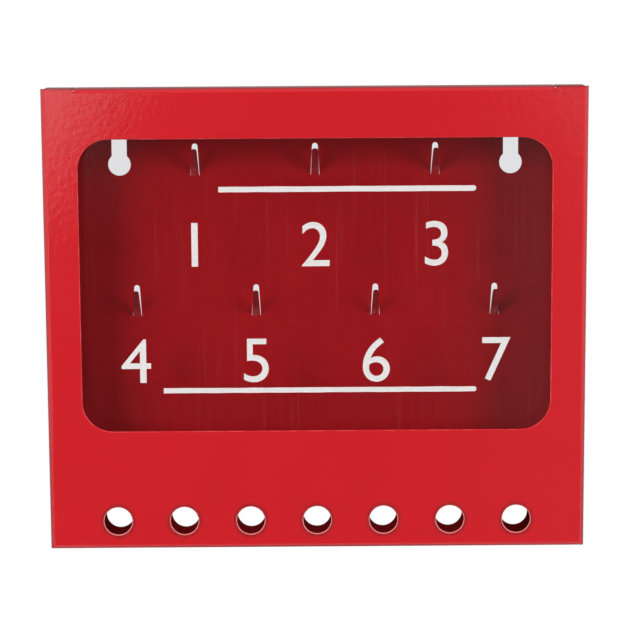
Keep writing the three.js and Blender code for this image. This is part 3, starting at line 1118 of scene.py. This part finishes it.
def printNumber(number, x, z, values):
    letters = bpy.data.curves.new(f"numberCurve_{number}", "FONT")
    letters.body = str(number)
    letters.size = values["numberHeight"] / values["digitShare"]
    letters.extrude = (inkRear - inkFront) / 2
    letters.align_x = "CENTER"
    letters.resolution_u = values["curveSteps"]
    draft = bpy.data.objects.new(f"numberDraft_{number}", letters)
    scene.collection.objects.link(draft)
    bpy.context.view_layer.update()
    mesh = bpy.data.meshes.new_from_object(draft.evaluated_get(bpy.context.evaluated_depsgraph_get()))
    bpy.data.objects.remove(draft)
    mesh.name = f"printNumber_{number}"
    low = [min(v.co[axis] for v in mesh.vertices) for axis in range(3)]
    high = [max(v.co[axis] for v in mesh.vertices) for axis in range(3)]
    for vertex in mesh.vertices:
        across, up, ahead = (c - (a + b) / 2 for c, a, b in zip(vertex.co, low, high))
        vertex.co = (x + across, (inkFront + inkRear) / 2 - ahead, z + up)
    inkPiece(mesh)


for rule in printValues["rules"]:
    printRule(rule, printValues)
for row in printValues["rows"]:
    for i in range(row["count"]):
        x = (i - (row["count"] - 1) / 2) * hookPitch
        printNumber(row["first"] + i, x, paneMiddle + row["up"], printValues)
print("print on the pane made")


# Plain studio: a pale floor well below the box, soft lamps, and white behind it

floorValues = {
    "height": -0.50,
    "radius": 0.97,
    "fadeFrom": 0.55,
    "segments": 96,
    "colour": (0.80, 0.80, 0.80, 1),
    "mottle": {"Amount": 0.015, "Size": 0.2},
    "roughness": 0.9,
}


def makeFloor(values):
    work = bmesh.new()
    bmesh.ops.create_circle(work, cap_ends=True, segments=values["segments"], radius=values["radius"])
    mesh = meshFrom(work, "studioFloor", smooth=False)
    floor = bpy.data.objects.new("studioFloor", mesh)
    floor.location = (0, 0, values["height"])
    scene.collection.objects.link(floor)
    material, tree, shader = newMaterial("paleFloor")
    colour = useGroup(tree, paintMottle, -300, 200, Colour=values["colour"], **values["mottle"])
    feed(tree, shader.inputs["Base Color"], colour)
    shader.inputs["Roughness"].default_value = values["roughness"]
    far = lengthNode(tree, objectPlace(tree, -700, -200), -500, -200)
    fade = fadeNode(tree, far, values["fadeFrom"], values["radius"], -200, -200)
    clear = addNode(tree, "ShaderNodeBsdfTransparent", 560, -420)
    feed(tree, surfaceOf(tree), mixShaders(tree, fade, shader.outputs[0], clear.outputs[0], 760, 0))
    mesh.materials.append(material)


makeFloor(floorValues)

studioLamps = [
    {"name": "leftSoftbox", "place": (-1.350, -0.665, 0.38), "size": (0.80, 1.10), "power": 26.0},
    {"name": "rightSoftbox", "place": (1.41, -0.53, 0.36), "size": (0.50, 1.10), "power": 26.5},
    {"name": "frontSoftbox", "place": (-0.25, -1.80, 1.80), "size": (0.60, 0.60), "power": 4},
    {"name": "topSoftbox", "place": (0.00, -0.22, 1.60), "size": (1.20, 0.50), "power": 6},
    {"name": "rearSoftbox", "place": (0.50, 1.85, -0.55), "size": (1.30, 0.80), "power": 32},
]


def addLamp(values):
    lamp = bpy.data.lights.new(values["name"], "AREA")
    lamp.shape = "RECTANGLE"
    lamp.size, lamp.size_y = values["size"]
    lamp.energy = values["power"]
    piece = bpy.data.objects.new(values["name"], lamp)
    # gloss shows the room's pale walls, not the lamps
    piece.visible_camera = False
    piece.visible_glossy = False
    piece.visible_transmission = False
    piece.location = values["place"]
    piece.rotation_euler = (-Vector(values["place"])).to_track_quat("-Z", "Y").to_euler()
    scene.collection.objects.link(piece)


for values in studioLamps:
    addLamp(values)

roomValues = {
    "ambient": 0.085,
    # what gloss sees: bright walls at the sides, dimmer above, below and behind the box, dark past the camera
    "sideLevel": 1.1, "upLevel": 0.55, "rearLevel": 0.25, "frontLevel": 0.05,
    "sideReach": (0.15, 0.60), "rearReach": (0.55, 0.95), "frontReach": (0.80, 0.96),
    # the floor in front of the box is dim too
    "floorDim": 0.75, "floorReach": (0.55, 0.80), "floorAhead": (0.30, 0.55),
    # pale screens past the camera: strength, slant to the left or right, and where each fades in
    "screens": [
        {"strength": 1.9, "across": -1.0, "up": 0.8, "from": 0.030, "to": 0.046},
        {"strength": 0.6, "across": 1.0, "up": 0.8, "from": 0.050, "to": 0.066},
        {"strength": 0.12, "across": 1.0, "up": 0.0, "from": 0.030, "to": 0.140},
    ],
    "screenEdge": (-0.90, -0.96), "screenTop": (-0.045, 0.450),
}


def makeRoom(values):
    # the camera and glass see white, gloss sees the walls and the screens
    world = bpy.data.worlds.new("studioRoom")
    world.use_nodes = True
    scene.world = world
    tree = world.node_tree
    tree.nodes.clear()
    output = addNode(tree, "ShaderNodeOutputWorld", 900, 0)
    path = addNode(tree, "ShaderNodeLightPath", -700, 300)
    place = addNode(tree, "ShaderNodeTexCoord", -1100, -300).outputs["Generated"]
    across, deep, up = splitPlace(tree, place, -900, -300)
    sideways = mathNode(tree, "ABSOLUTE", across, None, -720, -120)
    walls = fadeNode(tree, sideways, *values["sideReach"], -540, -120, values["upLevel"], values["sideLevel"])
    behind = fadeNode(tree, deep, *values["rearReach"], -540, -300)
    walls = mixValue(tree, behind, walls, values["rearLevel"], -360, -200)
    ahead = times(tree, deep, -1.0, -720, -300)
    dark = fadeNode(tree, ahead, *values["frontReach"], -540, -480)
    gloss = mixValue(tree, dark, walls, values["frontLevel"], -180, -260)
    down = times(tree, up, -1.0, -720, 0)
    floor = fadeNode(tree, down, *values["floorReach"], -540, 0)
    floor = times(tree, floor, fadeNode(tree, ahead, *values["floorAhead"], -540, 60), -360, 0)
    floor = times(tree, floor, values["floorDim"], -200, 0)
    gloss = times(tree, gloss, minus(tree, 1.0, floor, -60, 0), 60, -180)
    near = fadeNode(tree, deep, *values["screenEdge"], -720, -480)
    under = fadeNode(tree, up, *values["screenTop"], -720, -600, 1.0, 0.0)
    near = times(tree, near, under, -540, -600)
    lower = least(tree, up, values["screenTop"][0], -900, -700)
    for i, screen in enumerate(values["screens"]):
        low = -700 - 220 * i
        slant = times(tree, across, screen["across"], -720, low)
        slant = plus(tree, slant, times(tree, lower, screen["up"], -720, low - 60), -560, low)
        share = fadeNode(tree, slant, screen["from"], screen["to"], -420, low)
        share = times(tree, times(tree, share, near, -280, low), screen["strength"], -120, low)
        gloss = plus(tree, gloss, share, 20, low + 200)
    # a path that has met paint lights it evenly, one that has met gloss carries the walls
    painted = mathNode(tree, "GREATER_THAN", path.outputs["Diffuse Depth"], 0.5, -460, 120)
    glossed = mathNode(tree, "GREATER_THAN", path.outputs["Glossy Depth"], 0.5, -460, -40)
    glossy = most(tree, path.outputs["Is Glossy Ray"], glossed, -280, -20)
    glossy = times(tree, glossy, minus(tree, 1.0, painted, -280, 120), -120, 0)
    seen = most(tree, path.outputs["Is Camera Ray"], path.outputs["Is Transmission Ray"], -460, 340)
    indirect = most(tree, painted, glossed, -280, 260)
    seen = times(tree, seen, minus(tree, 1.0, indirect, -120, 260), 40, 300)
    level = mixValue(tree, glossy, values["ambient"], gloss, 180, -60)
    level = mixValue(tree, seen, level, 1.0, 380, 60)
    ground = addNode(tree, "ShaderNodeBackground", 620, 0)
    ground.inputs["Color"].default_value = (1, 1, 1, 1)
    feed(tree, ground.inputs["Strength"], level)
    tree.links.new(ground.outputs[0], output.inputs["Surface"])


makeRoom(roomValues)
scene.view_settings.view_transform = "Standard"
print("floor, lamps and room made")
